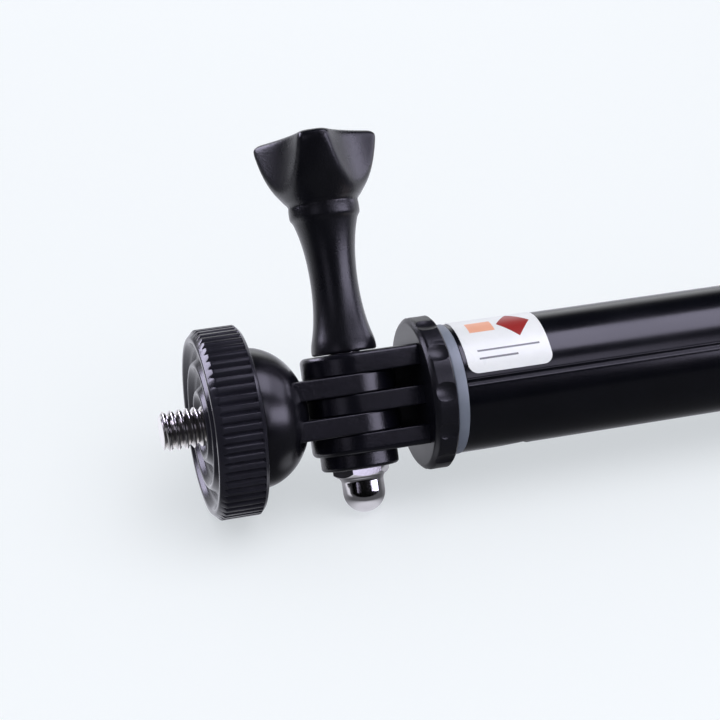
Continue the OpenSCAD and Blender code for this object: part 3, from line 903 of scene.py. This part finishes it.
@dataclass
class ThumbScrew(Assembly):
    """Three-lobed handle with a waisted shank."""

    foot_z: float = 8.14
    foot_r: float = 5.25
    waist: Corner = (19.75, 2.25, 9.2)
    band_z: float = 29.6
    band_r: float = 5.65
    head_z: float = 32.0
    top_z: float = 43.0
    lobes: int = 3
    lobe_r: float = 10.75
    lobe_round: float = 0.9
    lobe_turn: float = -103.5
    flare: tuple[Corner, Corner, Corner] = ((32.0, 5.4), (35.4, 8.9), (42.1, 10.75))
    flare_steps: int = 14
    scallop_r: float = 24.0
    scallop_axis: float = 30.0
    scallop_lean: float = 8.0
    scallop_reach: tuple[float, float] = (10.4, 4.4)
    washer_r: float = 4.1
    washer_top: float = 9.3
    skin: float = 0.18
    passes: int = 12
    soft_above: float = 0.9
    head_passes: int = 80

    def profile(self) -> list[Corner]:
        """Returns the half outline of foot, shank, band and flared head, axis to axis."""
        a, b, c = (Vector(p) for p in self.flare)
        shares = [i / self.flare_steps for i in range(1, self.flare_steps)]
        flare = [tuple(a.lerp(b, t).lerp(b.lerp(c, t), t)) for t in shares]
        return [
            (self.washer_top, 0), (self.washer_top, self.washer_r), (self.foot_z, self.washer_r),
            (self.foot_z, self.foot_r, 0.15), (self.foot_z + 1.6, self.foot_r - 0.1, 0.7),
            self.waist, (self.band_z, self.band_r - 0.4, 0.2),
            (self.band_z + 0.25, self.band_r, 0.15), (self.head_z - 0.25, self.band_r, 0.15),
            (self.head_z, self.band_r - 0.25), *flare, (self.top_z - self.lobe_round, self.lobe_r),
            (self.top_z, self.lobe_r - 0.06, self.lobe_round * 0.9), (self.top_z + 0.2, 0),
        ]

    def build(self) -> None:
        """Builds and places the handle, with its scallops cut along leaning bars."""
        shape = upright(self.profile(), 160)
        lean = math.radians(self.scallop_lean)
        below, above = self.scallop_reach
        for i in range(self.lobes):
            turn = math.radians(self.lobe_turn + 360 / self.lobes * (i + 0.5))
            out = Vector((math.cos(turn), math.sin(turn), 0))
            middle = out * self.scallop_axis + Vector((0, 0, self.top_z))
            along = Vector((0, 0, math.cos(lean))) - out * math.sin(lean)
            bar = rod(self.scallop_r, middle - along * below, middle + along * above, 240)
            shape = combine(shape, bar, Op.CUT)
        soft_z = self.head_z + self.soft_above
        shape = melted(shape, self.skin, self.passes, soft_z, self.head_passes)
        self.place(
            "lobed_handle", shape, HEAD, "thumb_screw", ["thumb_knob"], Finishes.SATIN_BLACK, 70
        )


@dataclass
class CapNut(Assembly):
    """Chrome cap nut in the fork's boss."""

    flats: float = 8.0
    top_z: float = -6.2
    hex_z: float = -11.5
    chamfer_z: float = 0.75
    shoulder_r: float = 3.75
    dome_r: float = 3.35
    tip_z: float = -17.3

    def build(self) -> None:
        """Builds and places the nut."""
        low, corner = self.hex_z, self.flats / 2 / HEX_COS
        hexagon = post(corner - 0.02, low, self.top_z, 6)
        moved(hexagon, Matrix.Rotation(math.pi / 6, 4, "Z"))
        chamfer = upright([
            (low, 0), (low, self.flats / 2 - 0.15, 0.1), (low + self.chamfer_z, corner + 0.2),
            (self.top_z + 1, corner + 0.2), (self.top_z + 1, 0),
        ])
        dome = upright([
            (low + 0.4, 0), (low + 0.4, self.shoulder_r), (low - 0.1, self.shoulder_r - 0.05, 0.3),
            (low - 0.5, self.dome_r, 0.35), (self.tip_z, self.dome_r, self.dome_r - 0.02),
            (self.tip_z, 0),
        ])
        nut = join(combine(hexagon, chamfer, Op.KEEP), dome)
        self.place("acorn_nut", nut, HEAD, "slim_section", ["cap_nut"], Finishes.CHROME, 30)


@dataclass
class Pole(Assembly):
    """Outer tube with a fine line and a crimp, and the grey ring in its mouth."""

    radius: float = 10.4
    wall: float = 0.8
    mouth_x: float = 40.8
    end_x: float = 230.8
    end_round: float = 0.12
    ring_w: float = 1.9
    ring_r: float = 10.5
    ring_bore: float = 8.85
    ring_depth: float = 12.0
    line_side: float = 142.6
    line_half: float = 2.0
    line_depth: float = 0.2
    lip: float = 0.04
    crimp_side: float = 236.6
    crimp_x: float = 46.1
    crimp_len: float = 6.3
    crimp_depth: float = 0.4

    def tube(self) -> Mesh:
        """Makes the tube, presses its line in, and crimps it."""
        r, bore = self.radius, self.radius - self.wall
        bm = turned([
            (self.mouth_x, bore), (self.mouth_x, r, self.end_round),
            (self.end_x, r, self.end_round), (self.end_x, bore),
        ], 720)
        turn = Matrix.Rotation(-math.radians(self.line_side), 4, "X")
        for v in bm.verts:
            local = turn @ v.co
            off = abs(math.degrees(math.atan2(local.z, local.y)))
            if v.co.yz.length > r - 0.2 and off < 2 * self.line_half:
                share = off / self.line_half
                shift = self.lip * math.sin(math.pi * (share - 1))
                if share < 1:
                    shift = -self.line_depth * (1 - share ** 4)
                ops.scale(bm, vec=(1, 1 + shift / r, 1 + shift / r), verts=[v])
        ramp = bmesh.new()
        ops.create_cube(ramp, size=1.0)
        ops.scale(ramp, vec=(self.crimp_len, 2 * r, r), verts=ramp.verts[:])
        moved(ramp, Matrix.Translation((self.crimp_len / 2, 0, r / 2)))
        tilt = Matrix.Rotation(math.atan(self.crimp_depth / self.crimp_len), 4, "Y")
        side = Matrix.Rotation(math.radians(self.crimp_side - 90), 4, "X")
        moved(ramp, side @ Matrix.Translation((self.crimp_x, 0, r)) @ tilt)
        return combine(bm, ramp, Op.CUT)

    def ring(self) -> Mesh:
        """Makes the flanged ring in the tube's mouth."""
        x0, x1, x2 = self.mouth_x - self.ring_w, self.mouth_x, self.mouth_x + self.ring_depth
        fit = self.radius - self.wall - 0.02
        return turned([
            (x0, self.ring_bore, 0.15), (x0, self.ring_r, 0.3), (x1, self.ring_r, 0.15), (x1, fit),
            (x2, fit), (x2, self.ring_bore),
        ], 200)

    def build(self) -> None:
        """Builds and places the tube and its mouth ring."""
        for name, bm, node, finish, sharp in (
            ("handle_tube", self.tube(), "outer_tube", Finishes.ANODISED, 24),
            ("mouth_ring", self.ring(), "mouth_bush", Finishes.NYLON, 30),
        ):
            self.place(name, bm, POLE, "handle", [node], finish, sharp)


@dataclass
class TubeLabel(Assembly):
    """Rounded sticker wrapped on the tube, with a plain motif.

    The motif's places are (middle, half width) along and round the sheet, as shares of it.
    """

    radius: float = 10.41
    thick: float = 0.09
    x0: float = 41.5
    length: float = 14.0
    low: float = 51.6
    span: float = 84.0
    corner: float = 1.6
    strips: int = 42
    lozenge: tuple[Corner, Corner] = ((0.7, 0.2), (0.4, 0.24))
    red: Colour = (0.34, 0.016, 0.015)
    bars: tuple[tuple[Corner, Corner, Colour], ...] = (
        ((0.3, 0.15), (0.4, 0.1), (0.88, 0.42, 0.29)),
        ((0.52, 0.37), (0.76, 0.011), (0.16, 0.16, 0.19)),
        ((0.38, 0.23), (0.85, 0.011), (0.16, 0.16, 0.19)),
    )

    def build(self) -> None:
        """Builds and places the sticker."""
        width = math.radians(self.span) * self.radius
        c = self.corner
        bm = outline([(0, 0, c), (self.length, 0, c), (self.length, width, c), (0, width, c)])
        ops.edgeloop_fill(bm, edges=bm.edges[:])
        for i in range(1, self.strips):
            ops.bisect_plane(
                bm, geom=everything(bm), plane_co=(0, 0, width * i / self.strips),
                plane_no=(0, 0, 1), dist=CUT_GAP,
            )
        sheet_uv = bm.loops.layers.uv.new("sheet")
        for face in bm.faces:
            for loop in face.loops:
                loop[sheet_uv].uv = (loop.vert.co.x / self.length, loop.vert.co.z / width)
        for v in bm.verts:
            side = math.radians(self.low) + v.co.z / self.radius
            v.co = Vector(
                (self.x0 + v.co.x, self.radius * math.cos(side), self.radius * math.sin(side))
            )
        first = faced_out(bm).faces[:][0]
        if first.normal.yz.dot(first.calc_center_median().yz) < 0:
            ops.reverse_faces(bm, faces=bm.faces[:])
        ops.solidify(bm, geom=bm.faces[:], thickness=-self.thick)
        self.place(
            "tube_label", bm, POLE, "handle", ["label"], Finishes.FILM, 40, self.printed()
        )

    def printed(self) -> Material:
        """Returns the film's material with a red lozenge, a peach bar and two grey rules on it."""
        made = Finishes.FILM.shader(self.finishes.effects)
        sheet = made.add("ShaderNodeUVMap", uv_map="sheet")
        u, v = made.add("ShaderNodeSeparateXYZ", {0: sheet.outputs[0]}).outputs[:2]

        def off(value: Socket, middle: float) -> Socket:
            """Measures how far a coordinate is from a middle value."""
            return made.math("ABSOLUTE", made.math("SUBTRACT", value, middle))

        base = made.bsdf.inputs["Base Color"].links[0].from_socket
        reach = [
            made.math("MULTIPLY", off(part, middle), 1 / half)
            for part, (middle, half) in zip((u, v), self.lozenge)
        ]
        mask = made.math("LESS_THAN", made.math("ADD", *reach), 1.0)
        base = made.mix(mask, base, (*self.red, 1.0))
        for along, across, ink in self.bars:
            bands = [
                made.math("LESS_THAN", off(part, middle), half)
                for part, (middle, half) in zip((u, v), (along, across))
            ]
            base = made.mix(made.math("MULTIPLY", *bands), base, (*ink, 1.0))
        made.wire(made.bsdf, {"Base Color": base})
        return made.material


@dataclass
class Grip(Assembly):
    """Foam sleeve on the handle."""

    bore: float = 10.42
    radius: float = 15.0
    x0: float = 125.8
    x1: float = 230.75
    shoulder: float = 14.0
    crown: float = 0.06

    def build(self) -> None:
        """Builds the sleeve, crowned a little along its length, and places it."""
        r, low = self.radius, self.radius - self.crown
        bm = turned([
            (self.x0, self.bore), (self.x0, r - 0.5, 2.6), (self.x0 + self.shoulder, low, 6),
            ((self.x0 + self.x1) / 2, r, 20), (self.x1 - self.shoulder, low, 6),
            (self.x1, r - 0.4, 1.6), (self.x1, self.bore),
        ], 144)
        piece = self.place("foam_grip", bm, POLE, "handle", ["grip"], Finishes.FOAM, 50)


@dataclass
class RearCap(Assembly):
    """End cap with its strap eyelet."""

    radius: float = 15.0
    rim: float = 1.6
    plug_r: float = 9.58
    plug_len: float = 10.0
    x0: float = 230.8
    x1: float = 235.8
    eyelet_x: float = 239.3
    eyelet_r: float = 2.3
    eyelet_round: float = 0.4
    ear_r: float = 5.3
    ear_half: float = 2.5
    ear_round: float = 0.9

    def build(self) -> None:
        """Builds and places the cap."""
        plug_x = self.x0 - self.plug_len
        cap = turned([
            (plug_x, 0), (plug_x, self.plug_r, 0.6), (self.x0, self.plug_r),
            (self.x0, self.radius, 0.3), (self.x1, self.radius, self.rim), (self.x1, 0),
        ], 144)
        r, back = self.ear_r, self.x1 - 1 - self.eyelet_x
        ear = slab(
            [(back, -r), (r, -r, r), (r, r, r), (back, r)], -self.ear_half, self.ear_half,
            self.ear_round, self.ear_round, 4,
        )
        ear = bored(ear, self.eyelet_r, 64)
        edge_r = self.eyelet_r + 0.02
        soften(
            ear, self.eyelet_round, angle=60, segments=3,
            where=lambda e: all(v.co.xy.length < edge_r for v in e.verts),
        )
        turn = Matrix.Rotation(math.pi / 2, 4, "X")
        moved(ear, Matrix.Translation((self.eyelet_x, 0, 0)) @ turn)
        self.place(
            "rear_cap", join(cap, ear), POLE, "handle", ["end_cap"], Finishes.SATIN_BLACK, 40
        )


class KeptNodes(Assembly):
    """CAD nodes whose shape is right, which only get a finish."""

    FINISH: tuple[tuple[Finish, tuple[str, ...]], ...] = (
        (Finishes.STEEL, ("spigot_pin", "thumb_washer", "thumb_bolt")),
        (Finishes.ANODISED, ("slim_tube", "middle_tube", "wide_tube")),
        (Finishes.LOCK_METAL, (
            "retainer_plate", "slim_lock_stud", "middle_lock_stud", "wide_lock_stud",
        )),
        (Finishes.NYLON, (
            "wheel_washer", "middle_bush", "wide_bush", "slim_lock_sleeve", "middle_lock_sleeve",
            "wide_lock_sleeve",
        )),
    )

    def build(self) -> None:
        """Gives each kept node its material."""
        for finish, names in self.FINISH:
            for name in names:
                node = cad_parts[name]
                node.data.materials.clear()
                node.data.materials.append(self.finishes.material(finish))
                LOG.info("%s: kept with %s", name, finish.name)


# Studio


@dataclass(frozen=True)
class Card:
    """A soft light that shows only in reflections."""

    name: str
    towards: Point
    across: Point
    up: Point
    half_across: float
    half_up: float
    strength: float


@dataclass
class Studio:
    """Table, lights and camera of the photograph.

    A ramp's four numbers are from-low, from-high, to-low and to-high.
    """

    centre: Point = (0.05, 0.0, 0.0)
    tint: Colour = (0.93, 0.89, 1.16)
    cards: tuple[Card, ...] = (
        Card("overhead_card", (0.38, 0.07, 0.92), (0.92, 0, -0.38), (0, 1, 0), 0.22, 0.3, 4.0),
        Card("overhead_edge", (0.762, 0.1, 0.64), (0.64, 0, -0.762), (0, 1, 0), 0.27, 0.28, 2.1),
        Card(
            "front_card", (0.756, -0.535, 0.373), (0.66, 0.594, -0.462), (0.026, 0.596, 0.804),
            0.41, 0.19, 4.4,
        ),
        Card(
            "front_edge", (0.33, -0.62, 0.71), (0.94, 0.2, -0.27), (-0.1, 0.74, 0.66),
            0.12, 0.17, 1.5,
        ),
        Card("side_card", (-0.65, -0.6, 0.46), (0.72, -0.5, 0.48), (0, 0.62, 0.78), 0.2, 0.2, 0.5),
        Card(
            "left_card", (-0.7, 0.62, 0.34), (0.66, 0.75, 0), (0.25, -0.22, 0.94), 0.36, 0.18, 8.3
        ),
        Card("right_card", (0.93, 0.32, 0.16), (-0.32, 0.95, 0), (0, 0, 1), 0.17, 0.15, 2.7),
        Card(
            "nut_card", (-0.0096, -0.0773, 0.0323), (0.973, 0.229, 0), (-0.112, 0.477, 0.873),
            0.006, 0.0028, 1.12,
        ),
    )
    table_half: float = 6.0
    table_base: Colour = (0.42, 0.425, 0.44)
    table_seen: Colour = (0.5, 0.525, 0.545)
    # table_glow and the ramps below are seen in reflections alone. This is painted reflected light:
    # brighter behind the pole, dimmer far back and far left, with painted bright patches below the
    # nut and below the wheel.
    table_glow: Colour = (0.95, 0.96, 1.05)
    table_rough: float = 0.3
    table_gloss: float = 0.2
    least_glow: float = 0.03
    behind_pole: Corner = (-0.012, 0.018, 0.1, 1.1)
    far_back: Corner = (0.06, 0.12, 0.0, -0.35)
    far_left: Corner = (-0.11, -0.03, -0.75, 0.0)
    below_nut: Corner = (0.003, 0.009, 0.65, 0.0)
    nut_at: Point = (0.0245, -0.013, TABLE_Z * MM)
    below_wheel: Corner = (0.006, 0.014, 0.7, 0.0)
    wheel_at: Point = (0.001, -0.002, TABLE_Z * MM)
    room_behind: Corner = (0.76, 0.95, 0.0, 1.4)
    room_low: Corner = (0.1, 0.5, 1.0, 0.0)
    room_gloss: Colour = (0.97, 0.985, 1.02)
    room_matt: Colour = (0.97, 0.985, 1.0)
    room_matt_strength: float = 0.78
    room_seen: Colour = (0.908, 0.94, 0.965)
    key_at: Point = (0.35, -0.1, 0.9)
    key_size: float = 0.9
    key_energy: float = 3.2
    camera_at: Point = (-70.39, -293.29, 8.02)
    camera_right: Point = (0.96054, -0.23898, -0.14241)
    camera_up: Point = (0.13929, -0.02997, 0.9898)
    lens: float = 95.0
    sensor: float = 36.0
    clip: tuple[float, float] = (0.01, 50.0)

    def card(self, card: Card) -> None:
        """Hangs one card, seen by glossy rays alone."""
        side, up = Vector(card.across).normalized(), Vector(card.up).normalized()
        axes = (side * card.half_across, up * card.half_up, side.cross(up))
        at = Matrix.Translation(Vector(self.centre) + Vector(card.towards))
        bm = moved(square(1.0), at @ Matrix(axes).transposed().to_4x4())
        sheet = linked(card.name, stored(card.name, bm))
        made = Shader(card.name)
        lamp = made.glow("ShaderNodeEmission", self.tint, card.strength)
        made.wire(made.output, {"Surface": lamp})
        sheet.data.materials.append(made.material)
        sheet.visible_camera = sheet.visible_diffuse = sheet.visible_shadow = False

    def table(self) -> None:
        """Lays the pale lit table, brighter in reflections behind the pole and below the head."""
        bm = moved(square(self.table_half), Matrix.Translation((0, 0, TABLE_Z * MM)))
        top = linked("table", stored("table", bm))
        made = Shader("table")
        made.wire(made.bsdf, {
            "Base Color": (*self.table_base, 1.0), "Roughness": self.table_rough,
            "Specular IOR Level": self.table_gloss,
        })
        x, y = made.add("ShaderNodeSeparateXYZ", {0: made.at}).outputs[:2]
        nut, wheel = (
            made.add("ShaderNodeVectorMath", {0: made.at, 1: at}, operation="DISTANCE")
            .outputs["Value"] for at in (self.nut_at, self.wheel_at)
        )
        total = made.ramp(y, self.behind_pole)
        for source, ends in (
            (y, self.far_back), (x, self.far_left), (nut, self.below_nut),
            (wheel, self.below_wheel),
        ):
            total = made.math("ADD", total, made.ramp(source, ends))
        strength = made.math("MAXIMUM", total, self.least_glow)
        path = made.add("ShaderNodeLightPath").outputs
        glow = made.glow("ShaderNodeEmission", self.table_glow, strength)
        seen = made.glow("ShaderNodeEmission", self.table_seen, path["Is Camera Ray"])
        lit = made.add("ShaderNodeAddShader", {0: made.bsdf.outputs[0], 1: seen}).outputs[0]
        made.wire(made.output, {"Surface": made.blend(path["Is Glossy Ray"], lit, glow)})
        top.data.materials.append(made.material)

    def world(self) -> None:
        """Sets the room: pale to the camera, even to matt surfaces, to gloss lit behind alone."""
        room = bpy.data.worlds.new("room")
        bpy.context.scene.world = room
        room.use_nodes = True
        made = Nodes(room.node_tree)
        made.tree.nodes.clear()
        coords = made.add("ShaderNodeTexCoord").outputs["Generated"]
        split = made.add("ShaderNodeSeparateXYZ", {0: coords}).outputs
        backdrop = made.math(
            "MULTIPLY", made.ramp(split[1], self.room_behind), made.ramp(split[2], self.room_low)
        )
        path = made.add("ShaderNodeLightPath").outputs
        gloss, matt, seen = (
            made.glow("ShaderNodeBackground", colour, strength) for colour, strength in (
                (self.room_gloss, backdrop), (self.room_matt, self.room_matt_strength),
                (self.room_seen, 1.0),
            )
        )
        unseen = made.blend(path["Is Glossy Ray"], matt, gloss)
        whole = made.blend(path["Is Camera Ray"], unseen, seen)
        made.add("ShaderNodeOutputWorld", {"Surface": whole})

    def key_light(self) -> None:
        """Hangs a large soft light over the table for matt surfaces."""
        lamp = bpy.data.lights.new("key", "AREA")
        lamp.shape, lamp.size, lamp.energy = "DISK", self.key_size, self.key_energy
        light = linked("key", lamp)
        light.location = Vector(self.key_at)
        light.rotation_mode = "QUATERNION"
        facing = Vector(self.centre) - light.location
        light.rotation_quaternion = facing.to_track_quat("-Z", "Y")
        light.visible_glossy = light.visible_camera = False

    def camera(self) -> None:
        """Stands the camera where the photograph was taken."""
        data = bpy.data.cameras.new("camera")
        data.lens, data.sensor_width = self.lens, self.sensor
        data.clip_start, data.clip_end = self.clip
        eye = linked("camera", data)
        right, up = Vector(self.camera_right).normalized(), Vector(self.camera_up).normalized()
        turn = Matrix((right, up, right.cross(up))).transposed().to_4x4()
        at = HEAD @ Matrix.Translation(self.camera_at) @ turn
        level = at.to_quaternion().to_matrix().to_4x4()
        eye.matrix_world = Matrix.Translation(at.to_translation() * MM) @ level
        bpy.context.scene.camera = eye

    def build(self) -> None:
        """Sets up the whole studio."""
        bpy.context.scene.view_settings.view_transform = "Standard"
        for card in self.cards:
            self.card(card)
        self.table()
        self.world()
        self.key_light()
        self.camera()


def main() -> None:
    """Builds every piece of the pole and the studio."""
    logging.basicConfig(level=logging.INFO, format="%(name)s %(message)s")
    finishes = Finishes()
    for kind in (
        CameraScrew, CameraWheel, TiltAdapter, ForkHead, ThumbScrew, CapNut, Pole, TubeLabel, Grip,
        RearCap, KeptNodes,
    ):
        kind(finishes).build()
    Studio().build()


if __name__ == "__main__":
    main()
